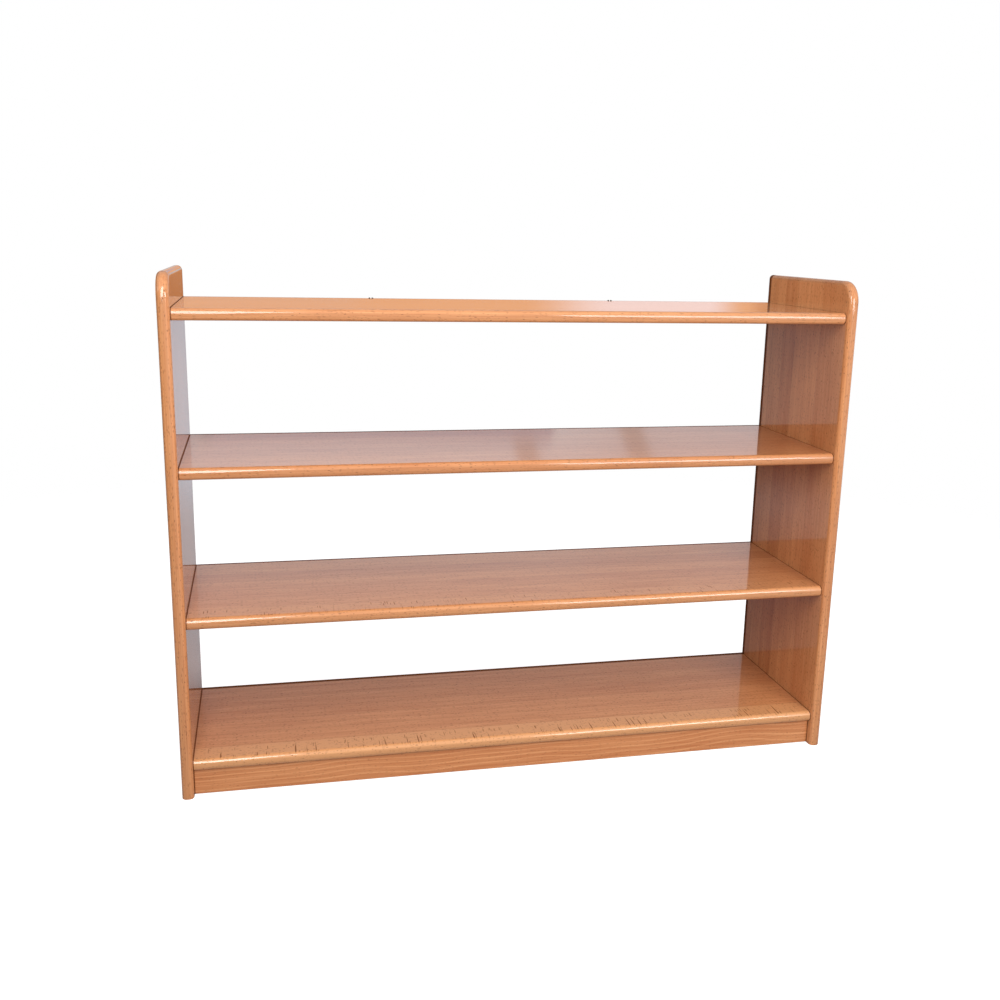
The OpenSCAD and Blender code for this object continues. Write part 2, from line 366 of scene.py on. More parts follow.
def beech(name, axes, first, seed, depth=0.5, wave=1.0, rings=0.12, veins=0.0, stave=STAVE, rift=0.0,
          ring=RING, flecked=1.0, ray_edge=None, bold=1.0, rear=None, line=None, inner=None, ends=None):
    """Lacquered beech. axes names the directions along the grain, across the staves and through the board.
    first is where the staves are counted from, depth how deep the colour is, wave how far the grain
    wanders, rings how dark the late wood and veins how pale the early wood shows, rift how far to the
    side the pith lies and flecked how dark the rays show.
    ray_edge is where a quarter-sawn front stave ends and bold how much it differs from the others. rear
    is where the board ends at the back, line how wide the painted shade lies there and inner how far out
    it goes on a side, and ends is the half length of a board with butt joints, where painted shade lies."""
    material, tree, shader, place = new_material(name)
    sides = dict(zip("XYZ", tree.split(place)))
    u, v, w = (sides[axis] for axis in axes)

    stave_place = (v - first) / stave
    across = stave_place.fract()
    chance = tree.split(tree.node("ShaderNodeTexWhiteNoise", {"noise_dimensions": "3D"},
                                  {"Vector": tree.vector(stave_place.floor(), seed, 3.7)}, "Color"))
    u_here = u + 9.0 * chance[2]
    late_wood, early_wood = year_rings(tree, u, u_here, v, w, across, chance, stave, rift, wave, ring)

    fibre, streak, cloud = (grain(tree, u_here, v, w, size) for size in (FIBRES, STREAKS, CLOUDS))
    tone = depth + (chance[0] - 0.5) * STAVE_TONE + (late_wood - 0.4) * rings - early_wood * veins
    tone = tone + (fibre - 0.5) * FIBRE_TONE + (streak - 0.5) * STREAK_TONE + (cloud - 0.5) * CLOUD_TONE

    marks = small_marks(tree, u_here, v, w) * flecked
    dull_share = marks * 0.2
    if ray_edge is not None:
        front = v.rises(ray_edge, ray_edge - FRONT_SOFT)
        dull_share = dull_share.most(ray_strokes(tree, u, u_here, v, w, first, seed, bold) * front)
        tone = tone * (1 - 0.7 * bold * front)
    # The lines of painted shade at the rear arris and in the joints join the dull share.
    if rear is not None:
        dull_share = dull_share.most(rear_painted_shade(v, w, rear, line, inner))
    if ends is not None:
        dull_share = dull_share.most(joint_painted_shade(u, ends))

    colour = tree.mix(PALE_BEECH, DEEP_BEECH, tone.most(0.0).least(1.0))
    if ray_edge is not None:
        colour = tree.mix(colour, GOLDEN_BEECH, front * (0.45 * bold))
    colour = tree.mix(colour, RAY_AND_SHADE_BROWN, marks)
    glue_line = (across.least(1 - across) * stave).rises(GLUE_WIDE, GLUE_NARROW)
    relief = 0.6 * fibre + 0.4 - 0.5 * marks
    feed(tree, shader, Base_Color=tree.scaled(colour, 1 - GLUE_SHADE * glue_line),
         Roughness=0.45 + 0.2 * marks, Normal=bump(tree, relief, RELIEF), Specular_IOR_Level=0.2,
         Coat_Weight=1.0, Coat_Roughness=0.07, Coat_IOR=1.5)
    mix_in_dull(material, tree, shader, RAY_AND_SHADE_BROWN, dull_share)
    return material


print("beech can be grown")

# %% [markdown]
# The shapes come from Geometry Nodes. A tree is a small factory with named inputs for sizes, and it
# ends in Realize Instances, which makes real meshes of all copies, and Set Material.

# %% Shape trees
NUMBER, COUNT, FINISH, THING = "NodeSocketFloat", "NodeSocketInt", "NodeSocketMaterial", "NodeSocketObject"


def new_shape_tree(name, inputs):
    """A Geometry Nodes tree that takes geometry and the named inputs. Returns it with their wires."""
    group = bpy.data.node_groups.new(name, "GeometryNodeTree")
    group.interface.new_socket("Geometry", in_out="OUTPUT", socket_type="NodeSocketGeometry")
    group.interface.new_socket("Geometry", in_out="INPUT", socket_type="NodeSocketGeometry")
    for label, kind in inputs.items():
        group.interface.new_socket(label, in_out="INPUT", socket_type=kind)
    tree = Tree(group)
    start = group.nodes.new("NodeGroupInput")
    return tree, {socket.name: Wire(tree, socket) for socket in start.outputs if socket.name}


def close_shape_tree(tree, shape, finish):
    """Ends a tree: instances become real, the finish goes on, and the shape goes out."""
    real = tree.node("GeometryNodeRealizeInstances", None, {"Geometry": shape})
    done = tree.node("GeometryNodeSetMaterial", None, {"Geometry": real, "Material": finish})
    tree.node("NodeGroupOutput", None, {"Geometry": done})


print("shape trees can be written")

# %% [markdown]
# A tree is run by a modifier on a plain mesh, whose inputs are set before it is first worked out.
# The result is baked into a mesh of its own, so that nothing depends on the factory afterwards.

# %% Run a shape tree
def hold(mesh):
    """An object for a mesh, in the scene."""
    holder = bpy.data.objects.new(mesh.name, mesh)
    bpy.context.scene.collection.objects.link(holder)
    return holder


def bake(holder):
    """The finished mesh of an object with modifiers. The object itself is cleared away."""
    seen = holder.evaluated_get(bpy.context.evaluated_depsgraph_get())
    mesh = bpy.data.meshes.new_from_object(seen)
    bpy.data.objects.remove(holder)
    return mesh


def run_tree(tree, mesh, **inputs):
    """Runs a shape tree on a mesh with these inputs, and returns the result as a mesh."""
    holder = hold(mesh)
    modifier = holder.modifiers.new("shape", "NODES")
    modifier.node_group = tree.tree
    sockets = {s.name: s.identifier for s in tree.tree.interface.items_tree if s.in_out == "INPUT"}
    for label, value in inputs.items():
        modifier[sockets[label.replace("_", " ")]] = value
    return bake(holder)


print("shape trees can be run")

# %% [markdown]
# A board and a turned fitting look nothing alike, but both are a stack of rings: the outline of the
# board at each depth of its thickness, or the circle of the dowel at each step of its length.
# So both start from a drum with the right number of points around and rows along. Its ends are closed
# and it has no seam, and only its points have to be moved.

# %% Drum
def point_of(tree, shape, number):
    """Where a shape's point of that number lies."""
    return tree.node("GeometryNodeSampleIndex", {"data_type": "FLOAT_VECTOR", "domain": "POINT"}, {
        "Geometry": shape, "Value": tree.node("GeometryNodeInputPosition"), "Index": number})


def count_points(tree, shape):
    return tree.node("GeometryNodeAttributeDomainSize", {"component": "MESH"}, {"Geometry": shape},
                     "Point Count")


def drum(tree, around, rows):
    """A closed drum, and for each of its points the place in its ring and the number of its row."""
    shape = tree.node("GeometryNodeMeshCylinder", {"fill_type": "NGON"},
                      {"Vertices": around, "Side Segments": rows - 1}, "Mesh")
    number = tree.node("GeometryNodeInputIndex")
    row = ((number + 0.5) / around).floor()
    return shape, number - row * around, row


print("a drum can be made")

# %% [markdown]
# On the real boards a router with a rounding bit goes along the front, round the corner and back along
# the top, and leaves the same rounded arris all the way. Here the outline is drawn twice, at full size
# and drawn in by the radius of the arris, and each row lies between the two by one less the cosine.
# The corner's radius shrinks with the outline, as the router's does. A bevel along each edge would do
# too, but this way the rows run clean round the corner.

# %% Board tree
board, given = new_shape_tree("board", {
    "Wide": NUMBER, "Long": NUMBER, "Thick": NUMBER, "Corner": NUMBER, "Arris": NUMBER,
    "Top share": NUMBER, "Rear bevel": NUMBER, "Steps": COUNT, "Finish": FINISH})


def outline(inset):
    """The board's outline, with its front and a share of its top drawn in by inset."""
    drop = given["Top share"] * inset
    sheet = board.node("GeometryNodeCurvePrimitiveQuadrilateral", None,
                       {"Width": given["Wide"] - inset, "Height": given["Long"] - drop})
    moved = board.node("GeometryNodeTransform", None, {
        "Geometry": sheet, "Translation": board.vector(-0.5 * inset, -0.5 * drop, 0.0)})
    first = 1 - board.node("GeometryNodeInputIndex").least(1)
    rounded = board.node("GeometryNodeFilletCurve", {"mode": "POLY"}, {
        "Curve": moved, "Radius": first * (given["Corner"] - inset).most(0), "Count": given["Steps"]})
    return board.node("GeometryNodeCurveToMesh", None, {"Curve": rounded})


full, drawn_in = outline(0.0), outline(given["Arris"])
shape, column, row = drum(board, count_points(board, full), given["Steps"] * 2 + 2)
level = row - (given["Steps"] + 0.5)
angle = (level.size() - 0.5) / given["Steps"] * (math.pi / 2)
place = board.node("ShaderNodeMix", {"data_type": "VECTOR"}, {
    0: 1 - angle.cosine(), 4: point_of(board, full, column), 5: point_of(board, drawn_in, column)}, 1)
forward, along, _ = board.split(place)
half = given["Thick"] / 2
height = half - given["Arris"] * (1 - angle.sine())
rear = (height - half + given["Rear bevel"]).most(0) - given["Wide"] / 2
through = height * board.math("SIGN", level)
placed = board.node("GeometryNodeSetPosition", None, {
    "Geometry": shape, "Position": board.vector(forward.most(rear), along, through)})
close_shape_tree(board, placed, given["Finish"])
print("board tree:", len(board.tree.nodes), "nodes")

# %% [markdown]
# Each board gets wood of its own, from its own seed. Staves are counted from the front edge, and the
# plinth is a single one. The line of painted shade is as wide on each board as the photograph shows it.

# %% Wood for each board
SIDES = ("left_side", "right_side")
SHELVES = ("top_shelf", "upper_shelf", "lower_shelf", "bottom_shelf")
SIDE_SEED, SHELF_SEED, PLINTH_SEED = 11, 31, 75
BOLD = {"lower_shelf": 0.25, "bottom_shelf": 1.0}
# How wide the painted shade line along the rear arris is on each board.
SHADE_LINE_WIDTH = {"left_side": 4 * MM, "right_side": 12 * MM, "top_shelf": 6 * MM, "upper_shelf": 10 * MM,
        "lower_shelf": 8 * MM, "bottom_shelf": 12 * MM}

side_low, side_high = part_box("left_side")
side_middle = -(side_low.x + side_high.x) / 2
shelf_low, shelf_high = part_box("bottom_shelf")
ray_edge = shelf_low.y + 44 * MM

wood = {"plinth": beech("plinth_beech", "XZY", -10 * MM, PLINTH_SEED, depth=0.74, wave=1.3, rings=0.06,
                        veins=0.38, stave=100 * MM, rift=90 * MM, ring=4.4 * MM, flecked=0.5,
                        ends=shelf_high.x)}
for seed, name in enumerate(SIDES, SIDE_SEED):
    wood[name] = beech(name + "_beech", "ZYX", side_low.y, seed, rear=side_high.y, line=SHADE_LINE_WIDTH[name],
                       inner=side_middle)
for seed, name in enumerate(SHELVES, SHELF_SEED):
    edge = ray_edge if name in BOLD else None
    wood[name] = beech(name + "_beech", "XYZ", shelf_low.y, seed, ray_edge=edge, bold=BOLD.get(name, 0),
                       rear=shelf_high.y, line=SHADE_LINE_WIDTH[name], ends=shelf_high.x)
print("wood for", len(wood), "boards")

# %% [markdown]
# Each board has a direction towards its worked edge and one along its length. Their cross product goes
# through its thickness, and with the CAD box that is all that turns a sawn board into its place.
# The plinth has no rounding, but no edge in a workshop stays sharp, so a touch of paper eases it.

# %% Saw the boards
FRONT, UP, ALONG = Vector((0, -1, 0)), Vector((0, 0, 1)), Vector((1, 0, 0))
CORNER_R, ARRIS_R, BEVEL, EASED = 35 * MM, 8 * MM, 1 * MM, 0.4 * MM


def saw(name, toward, along, **details):
    """A board of the CAD node's size, its worked edge towards one direction and its length along another."""
    low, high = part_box(name)
    through = toward.cross(along)
    wide, long, thick = (abs((high - low).dot(axis)) for axis in (toward, along, through))
    mesh = run_tree(board, bpy.data.meshes.new(name), Wide=wide, Long=long, Thick=thick,
                    Finish=wood[name], **details)
    turned = Matrix((toward, along, through)).transposed().to_4x4()
    mesh.transform(Matrix.Translation((low + high) / 2) @ turned)
    return mesh


square = {"Corner": 0.0, "Top_share": 0.0}
routed = {"Arris": ARRIS_R, "Rear_bevel": BEVEL}
sawn = {"plinth": saw("plinth", UP, ALONG, Arris=EASED, Rear_bevel=EASED, Steps=4, **square)}
for name in SIDES:
    sawn[name] = saw(name, FRONT, UP, Corner=CORNER_R, Top_share=1.0, Steps=20, **routed)
for name in SHELVES:
    sawn[name] = saw(name, FRONT, ALONG, Steps=16, **square, **routed)
print("boards sawn:", {name: len(mesh.vertices) for name, mesh in sawn.items()})

# %% [markdown]
# The fittings are turned on a lathe: a profile of radius against length, carried round an axis.
# The same tree cuts what a plain profile can't have. A dowel is pressed with flutes, so that glue
# can rise past it, and a bolt's or screw's thread is a groove that climbs by one pitch a turn.
# Every profile counts its length from the joint, with minus going into the side.

# %% Lathe tree
GROOVE_SHARE = 0.8
FLUTE_SHARPNESS = 3
DEEPEST_CUT = 0.35

lathe, given = new_shape_tree("lathe", {
    "Around": COUNT, "Cut from": NUMBER, "Cut to": NUMBER, "Pitch": NUMBER, "Thread": NUMBER,
    "Flutes": COUNT, "Flute": NUMBER, "Finish": FINISH})
shape, column, row = drum(lathe, given["Around"], count_points(lathe, given["Geometry"]))
reach, along, _ = lathe.split(point_of(lathe, given["Geometry"], row))
turn = column / given["Around"]
worked = along.over(given["Cut from"]) * (1 - along.over(given["Cut to"]))
crest = ((along / given["Pitch"] - turn).fract() * 2 - 1).size()
groove = (1 - crest * (1 / GROOVE_SHARE)).most(0) * given["Thread"]
flute = (turn * given["Flutes"] * (2 * math.pi)).cosine() * 0.5 + 0.5
depth = (groove + flute ** FLUTE_SHARPNESS * given["Flute"]).least(reach * DEEPEST_CUT)
radius = reach - worked * depth
angle = turn * (2 * math.pi)
placed = lathe.node("GeometryNodeSetPosition", None, {
    "Geometry": shape, "Position": lathe.vector(radius * angle.cosine(), radius * angle.sine(), along)})
close_shape_tree(lathe, placed, given["Finish"])
print("lathe tree:", len(lathe.tree.nodes), "nodes")

# %% [markdown]
# What is turned once is used many times, so a second tree sets copies out. It takes one point for each
# place, and each point carries the direction in which its copy shall look.

# %% Setting-out tree
set_out, given = new_shape_tree("set_out", {"Piece": THING, "Finish": FINISH})
axis = set_out.node("GeometryNodeInputNamedAttribute", {"data_type": "FLOAT_VECTOR"}, {"Name": "axis"})
look = set_out.node("FunctionNodeAlignRotationToVector", {"axis": "Z"}, {"Vector": axis})
piece = set_out.node("GeometryNodeObjectInfo", None, {"Object": given["Piece"]}, "Geometry")
copies = set_out.node("GeometryNodeInstanceOnPoints", None,
                      {"Points": given["Geometry"], "Instance": piece, "Rotation": look})
close_shape_tree(set_out, copies, given["Finish"])


def set_copies(name, piece_mesh, places, finish):
    """Copies of a piece, one for each (place, direction)."""
    points = bpy.data.meshes.new(name)
    points.from_pydata([place for place, direction in places], [], [])
    axes = points.attributes.new("axis", "FLOAT_VECTOR", "POINT")
    axes.data.foreach_set("vector", [value for place, direction in places for value in direction])
    piece = hold(piece_mesh)
    copies = run_tree(set_out, points, Piece=piece, Finish=finish)
    bpy.data.objects.remove(piece)
    return copies


def turn_piece(name, profile, finish, around=24, **cuts):
    """A turned piece from (radius, length) points in millimetres."""
    mesh = bpy.data.meshes.new(name)
    mesh.from_pydata([(radius * MM, length * MM, 0) for radius, length in profile], [], [])
    uncut = {"Cut_from": 0.0, "Cut_to": 0.0, "Pitch": 1.0, "Thread": 0.0, "Flutes": 0, "Flute": 0.0}
    return run_tree(lathe, mesh, Around=around, Finish=finish, **{**uncut, **cuts})


def in_steps(start, end, step):
    """Lengths from start to end in about these steps, both ends included."""
    count = round((end - start) / step)
    return [start + (end - start) * i / count for i in range(count + 1)]


print("setting-out tree:", len(set_out.tree.nodes), "nodes")

# %% [markdown]
# At each end of a shelf two dowels take the load and two bolts pull tight, each bolt's head held by a
# cam in the shelf's underside. The plinth has one of each at either end, and four upright dowels.
# All places follow from the boards' own boxes and a few distances.

# %% Joints
DOWEL_Y, BOLT_Y, PLINTH_Z, CAM_X = 68 * MM, 100 * MM, 8 * MM, 34 * MM
TOP_DOWEL_PITCH = 240 * MM


def end_joints(name, offsets):
    """The places and directions of the fittings at both ends of a board, offset from its middle."""
    low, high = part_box(name)
    middle = (low + high) / 2
    return [(Vector((end * high.x, middle.y, middle.z)) + offset, Vector((-end, 0, 0)))
            for end in (-1, 1) for offset in offsets]


def front_and_rear(distance):
    return [Vector((0, -distance, 0)), Vector((0, distance, 0))]


dowel_places = {name: end_joints(name, front_and_rear(DOWEL_Y)) for name in SHELVES}
bolt_places = {name: end_joints(name, front_and_rear(BOLT_Y)) for name in SHELVES}
plinth_low, plinth_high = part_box("plinth")
plinth_y = (plinth_low.y + plinth_high.y) / 2
dowel_places["plinth_end"] = end_joints("plinth", [Vector((0, 0, -PLINTH_Z))])
bolt_places["plinth"] = end_joints("plinth", [Vector((0, 0, PLINTH_Z))])
dowel_places["plinth_top"] = [(Vector((step * TOP_DOWEL_PITCH, plinth_y, plinth_high.z)), -UP)
                              for step in (-1.5, -0.5, 0.5, 1.5)]
print("dowels:", sum(map(len, dowel_places.values())), "bolts:", sum(map(len, bolt_places.values())))

# %% [markdown]
# The holes are drilled before the fittings go in. A drill is itself a turned piece, set out at the same
# places, and a Boolean takes it away from the board. Nobody sees most of these holes, but the unit can be
# taken apart, and the wide seats for the cams do show from below.

# %% Drill the boards
def cut(mesh, cutter_mesh):
    """The mesh less the cutter."""
    cutter = hold(cutter_mesh)
    holder = hold(mesh)
    boolean = holder.modifiers.new("cut", "BOOLEAN")
    boolean.operation = "DIFFERENCE"
    boolean.solver = "EXACT"
    boolean.object = cutter
    result = bake(holder)
    bpy.data.objects.remove(cutter)
    return result


def drill(mesh, profile, places, around=32):
    bit = turn_piece("drill", profile, mesh.materials[0], around=around)
    return cut(mesh, set_copies("drills", bit, places, mesh.materials[0]))


DOWEL_HOLE = [(4.1, -12.5), (4.1, 23.5)]
BOLT_HOLE = [(2.65, -11.5), (2.65, 0), (4, 0.02), (4, 34)]
CAM_HOLE = [(7.5, -4.5), (7.5, 12)]
SCREW_HOLE = [(1.9, 0.5), (1.9, 16.5)]


def cam_places(joints, direction):
    return [(place + inward * CAM_X, direction) for place, inward in joints]


for name in SHELVES:
    sawn[name] = drill(sawn[name], DOWEL_HOLE, dowel_places[name])
    sawn[name] = drill(sawn[name], BOLT_HOLE, bolt_places[name])
    sawn[name] = drill(sawn[name], CAM_HOLE, cam_places(bolt_places[name], -UP), around=48)
sawn["bottom_shelf"] = drill(sawn["bottom_shelf"], DOWEL_HOLE, dowel_places["plinth_top"])
sawn["plinth"] = drill(sawn["plinth"], DOWEL_HOLE, dowel_places["plinth_top"] + dowel_places["plinth_end"])
sawn["plinth"] = drill(sawn["plinth"], BOLT_HOLE, bolt_places["plinth"])
sawn["plinth"] = drill(sawn["plinth"], CAM_HOLE, cam_places(bolt_places["plinth"], -FRONT), around=48)
for end, name in zip((-1, 1), SIDES):
    dowels = [joint for joints in dowel_places.values() for joint in joints if joint[1].x == -end]
    bolts = [joint for joints in bolt_places.values() for joint in joints if joint[1].x == -end]
    sawn[name] = drill(drill(sawn[name], DOWEL_HOLE, dowels), BOLT_HOLE, bolts)
print("boards drilled:", {name: len(mesh.vertices) for name, mesh in sawn.items()})

# %% [markdown]
# The two wall plates lie flush in the rear edge of the top shelf, so it has a shallow housing for each,
# and a hole for each of their four screws.

# %% House the wall plates
PLATE_PLAY, SCREW_GAP, BEYOND = 0.15 * MM, 8 * MM, 10 * MM


def block(low, high):
    """A plain block between two corners, for a cutter."""
    mesh = bpy.data.meshes.new("block")
    shape = bmesh.new()
    bmesh.ops.create_cube(shape, size=1.0)
    shape.transform(Matrix.Translation((low + high) / 2) @ Matrix.Diagonal((*(high - low), 1)))
    shape.to_mesh(mesh)
    shape.free()
    return mesh


top_low, top_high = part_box("top_shelf")
screw_places = []
for name in ("left_wall_plate", "right_wall_plate"):
    low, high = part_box(name)
    housing_low = Vector((low.x - PLATE_PLAY, low.y, top_low.z - BEYOND))
    housing_high = Vector((high.x + PLATE_PLAY, high.y + BEYOND, top_high.z + BEYOND))
    sawn["top_shelf"] = cut(sawn["top_shelf"], block(housing_low, housing_high))
    middle = Vector(((low.x + high.x) / 2, high.y, (top_low.z + top_high.z) / 2))
    for row in (-0.5, 0.5):
        screw_places.append((middle + row * SCREW_GAP * UP, FRONT))
sawn["top_shelf"] = drill(sawn["top_shelf"], SCREW_HOLE, screw_places, around=16)
print("top shelf:", len(sawn["top_shelf"].vertices), "vertices")

# %% [markdown]
# A finished piece is smooth where its faces meet at a small angle and sharp elsewhere. The normals of
# the rounded arris must not tilt those of the flat beside it, or a gloss finish shows it at once,
# so they are weighted by the area of the faces. Each piece then takes the place of its CAD node.

# %% Hand the boards over
SHARP_FROM = math.radians(32)
LARGE_FACE_WEIGHT = 100
LITRES = 1000


def finish_piece(mesh, name, node):
    """Shades a mesh, makes it an object and lets it stand for its CAD node."""
    mesh.name = name
    mesh.shade_smooth()
    mesh.set_sharp_from_angle(angle=SHARP_FROM)
    holder = hold(mesh)
    weighted = holder.modifiers.new("normals", "WEIGHTED_NORMAL")
    weighted.keep_sharp = True
    weighted.weight = LARGE_FACE_WEIGHT
    piece = hold(bake(holder))
    piece.name = piece.data.name = name
    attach(piece, "root")
    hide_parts(node)


def volume(mesh):
    shape = bmesh.new()
    shape.from_mesh(mesh)
    litres = shape.calc_volume(signed=True) * LITRES
    open_edges = sum(not edge.is_manifold for edge in shape.edges)
    shape.free()
    return round(litres, 3), open_edges


for name, mesh in sawn.items():
    slot = "side_boards" if name in SIDES else "plinth_board" if name == "plinth" else "shelf_boards"
    print(name, "litres and open edges:", volume(mesh))
    finish_piece(mesh, name + "_sawn", name)

# %% [markdown]
# A cam is die-cast zinc: dull grey, a little grainy, and smoother where the mould was polished.
# A bolt is drawn steel under bright plating, a screw the same under yellow passivation.
# A wall plate is stamped steel with a dark bronzed skin that is rubbed bright in small patches.

# %% Metals
ZINC_DARK, ZINC_LIGHT = (0.40, 0.41, 0.43, 1), (0.56, 0.57, 0.58, 1)
BRONZE_DARK, BRONZE_LIGHT = (0.026, 0.021, 0.018, 1), (0.060, 0.046, 0.036, 1)
BRONZE_RUBBED = (0.20, 0.16, 0.13, 1)
DRAWN_LINES = (500, 2600)


def cast_zinc():
    material, tree, shader, place = new_material("cast_zinc")
    speck = tree.noise(tree.scaled(place, 2500), 2.0)
    flow = tree.noise(tree.scaled(place, 320), 3.0)
    feed(tree, shader, Base_Color=tree.mix(ZINC_DARK, ZINC_LIGHT, flow.rises(0.3, 0.7)), Metallic=1.0,
         Roughness=0.38 + 0.25 * (speck - 0.3), Normal=bump(tree, 0.7 * speck + 0.3 * flow, 0.05 * MM))
    return material


def bronzed_steel():
    material, tree, shader, place = new_material("bronzed_steel")
    mottle = tree.noise(tree.scaled(place, 450), 3.0)
    worn = tree.noise(tree.scaled(place, 90), 2.0).rises(0.60, 0.78)
    colour = tree.mix(tree.mix(BRONZE_DARK, BRONZE_LIGHT, mottle), BRONZE_RUBBED, worn * 0.6)
    feed(tree, shader, Base_Color=colour, Metallic=0.85, Normal=bump(tree, mottle, 0.03 * MM),
         Roughness=0.42 + 0.2 * (mottle - 0.5) - 0.1 * worn)
    return material


def plated_steel(name, dull, bright):
    material, tree, shader, place = new_material(name)
    drawn = grain(tree, *tree.split(place), DRAWN_LINES)
    tint = tree.noise(tree.scaled(place, 260), 2.0)
    feed(tree, shader, Base_Color=tree.mix(dull, bright, tint), Metallic=1.0,
         Roughness=0.24 + 0.18 * (drawn - 0.3), Normal=bump(tree, drawn, 0.02 * MM))
    return material


print("metals can be made")

# %% [markdown]
# A dowel is the same beech as the boards, but without lacquer, so it is paler and quite dull.

# %% Raw wood
RAW_PALE, RAW_DEEP = (0.70, 0.47, 0.28, 1), (0.52, 0.31, 0.16, 1)
RAW_FIBRES = (120, 1500)


def raw_beech():
    material, tree, shader, place = new_material("raw_beech")
    x, y, z = tree.split(place)
    fibre = grain(tree, x, y, z, RAW_FIBRES)
    flecks = dashes(tree, x, y, z, length=2.4 * MM, width=0.5 * MM, shown=0.3)
    colour = tree.mix(tree.mix(RAW_PALE, RAW_DEEP, fibre), RAY_AND_SHADE_BROWN, flecks * 0.4)
    feed(tree, shader, Base_Color=colour, Roughness=0.62 + 0.2 * (fibre - 0.5),
         Normal=bump(tree, fibre, 0.05 * MM))
    return material


print("raw beech can be made")

# %% [markdown]
# The cams and wall plates keep their CAD meshes and only get their metal. The others are turned below.

# %% Finish of the fittings
zinc = cast_zinc()
bronzed = bronzed_steel()
silver_plated = plated_steel("silver_plated_steel", dull=(0.50, 0.50, 0.50, 1),
                             bright=(0.68, 0.68, 0.66, 1))
yellow_plated = plated_steel("yellow_plated_steel", dull=(0.52, 0.42, 0.22, 1),
                             bright=(0.70, 0.60, 0.38, 1))
dowel_beech = raw_beech()
for name, node in parts.items():
    if name.endswith("_cams"):
        node.material_slots[0].material = zinc
    if name.endswith("_wall_plate"):
        node.material_slots[0].material = bronzed
print("cams and wall plates have their metal")

# %% [markdown]
# Dowels 8 mm thick and 35 mm long, chamfered at both ends, with flutes pressed along them.

# %% Dowels
DOWEL = [(3, -12), (4, -11), (4, -10.5), (4, 21.5), (4, 22), (3, 23)]
dowel = turn_piece("dowel", DOWEL, dowel_beech, around=96, Cut_from=-11 * MM, Cut_to=21.8 * MM,
                   Flutes=16, Flute=0.25 * MM)
for name, places in dowel_places.items():
    node = name + "_dowels"
    finish_piece(set_copies(node, dowel, places, dowel_beech), node + "_fluted", node)
print("one dowel:", len(dowel.vertices), "vertices")

# %% [markdown]
# A connecting bolt: a coarse thread of 2 mm pitch that bites in the side's bare wood, a collar that
# centres it in the hole of the shelf, a shank, and a neck and a mushroom head for the cam to pull on.

# %% Bolts
BOLT_PITCH, BOLT_THREAD = 2 * MM, 0.6 * MM
BOLT = [(1.25, -11), *((2.5, z) for z in in_steps(-9.75, -0.4, 0.3)), (2.5, 0), (3.85, 0.02),
        (3.85, 4), (3, 4.85), (3, 25.25), (1.75, 26.5), (1.75, 32.5), (3.25, 32.52), (3.25, 34),
        (1.625, 35.5)]
bolt = turn_piece("bolt", BOLT, silver_plated, around=32, Cut_from=-10.9 * MM, Cut_to=-0.3 * MM,
                  Pitch=BOLT_PITCH, Thread=BOLT_THREAD)
for name, places in bolt_places.items():
    node = name + "_bolts"
    finish_piece(set_copies(node, bolt, places, silver_plated), node + "_threaded", node)
print("one bolt:", len(bolt.vertices), "vertices")

# %% [markdown]
# Four countersunk screws, 3.5 by 16 mm, hold the wall plates. They have a sharp point, a wood thread,
# and a cross in the head, which two small blocks cut out.

# %% Screws
SCREW_PITCH, SCREW_THREAD = 1.35 * MM, 0.45 * MM
CROSS_LONG, CROSS_WIDE, CROSS_DEEP, ABOVE_HEAD = 1.7 * MM, 0.38 * MM, 1.2 * MM, 1 * MM
SCREW = [(3, 0), (3, 0.3), (1.75, 1.55), *((1.75, z) for z in in_steps(2.2, 12.5, 0.22)),
         *((1.75 * (16 - z) / 3.5, z) for z in in_steps(12.7, 15.8, 0.22))]
screw = turn_piece("screw", SCREW, yellow_plated, around=32, Cut_from=2.3 * MM, Cut_to=15.9 * MM,
                   Pitch=SCREW_PITCH, Thread=SCREW_THREAD)
for across, along in ((CROSS_LONG, CROSS_WIDE), (CROSS_WIDE, CROSS_LONG)):
    screw = cut(screw, block(Vector((-across, -along, -ABOVE_HEAD)), Vector((across, along, CROSS_DEEP))))
screws = set_copies("screws", screw, screw_places, yellow_plated)
finish_piece(screws, "wall_plate_screws_threaded", "wall_plate_screws")
print("one screw:", len(screw.vertices), "vertices")

# %% [markdown]
# The studio: white paper under the unit, two soft boxes in front, and a pale room all round.
# A lacquered board shows its room, so the room matters as much as the lamps. At a low angle the tops
# of the shelves and the inner face of the left side are mirrors. In the photograph they show grey paper
# below, a warm wall at eye level with a light strip in it, and pale panels with narrow gaps above it.
# The room could be built from cards, but a sky that is worked out from the direction does the same
# with nothing in the way.

# %% Colours of the room
FRONT_RIGHT = (0.50, 0.50, 0.50, 1)
FRONT_LEFT = (0.08, 0.08, 0.08, 1)
BACK_LEFT = (0.04, 0.04, 0.04, 1)
LEFT_WALL = (1.65, 1.65, 1.65, 1)
PANEL_LEFT = (0.85, 0.83, 0.86, 1)
PANEL_RIGHT = (0.75, 0.69, 0.71, 1)
PANEL_TOP = (0.24, 0.24, 0.25, 1)
GREY_BAND = (0.50, 0.46, 0.55, 1)
WALL_LOW = (0.52, 0.20, 0.07, 1)
WALL_HIGH = (0.95, 0.45, 0.20, 1)
WALL_LIT = (1.09, 0.83, 0.78, 1)
WALL_DARK = (0.73, 0.30, 0.11, 1)
STRIP = (0.58, 0.57, 0.58, 1)
LEFT_GREY = (0.60, 0.58, 0.60, 1)
CEILING_FRONT = (0.85, 0.85, 0.86, 1)
CEILING_BACK = (0.52, 0.52, 0.53, 1)
GAP = (0.42, 0.30, 0.24, 1)
PAPER_FAR = (0.58, 0.60, 0.66, 1)
PAPER_LEFT = (0.42, 0.43, 0.45, 1)
print("the left wall shines", LEFT_WALL[0], "times as bright as white")

# %% [markdown]
# Each place in the room is told by two angles in degrees: azimuth, to the right of straight behind the
# unit, and elevation, above the horizon.

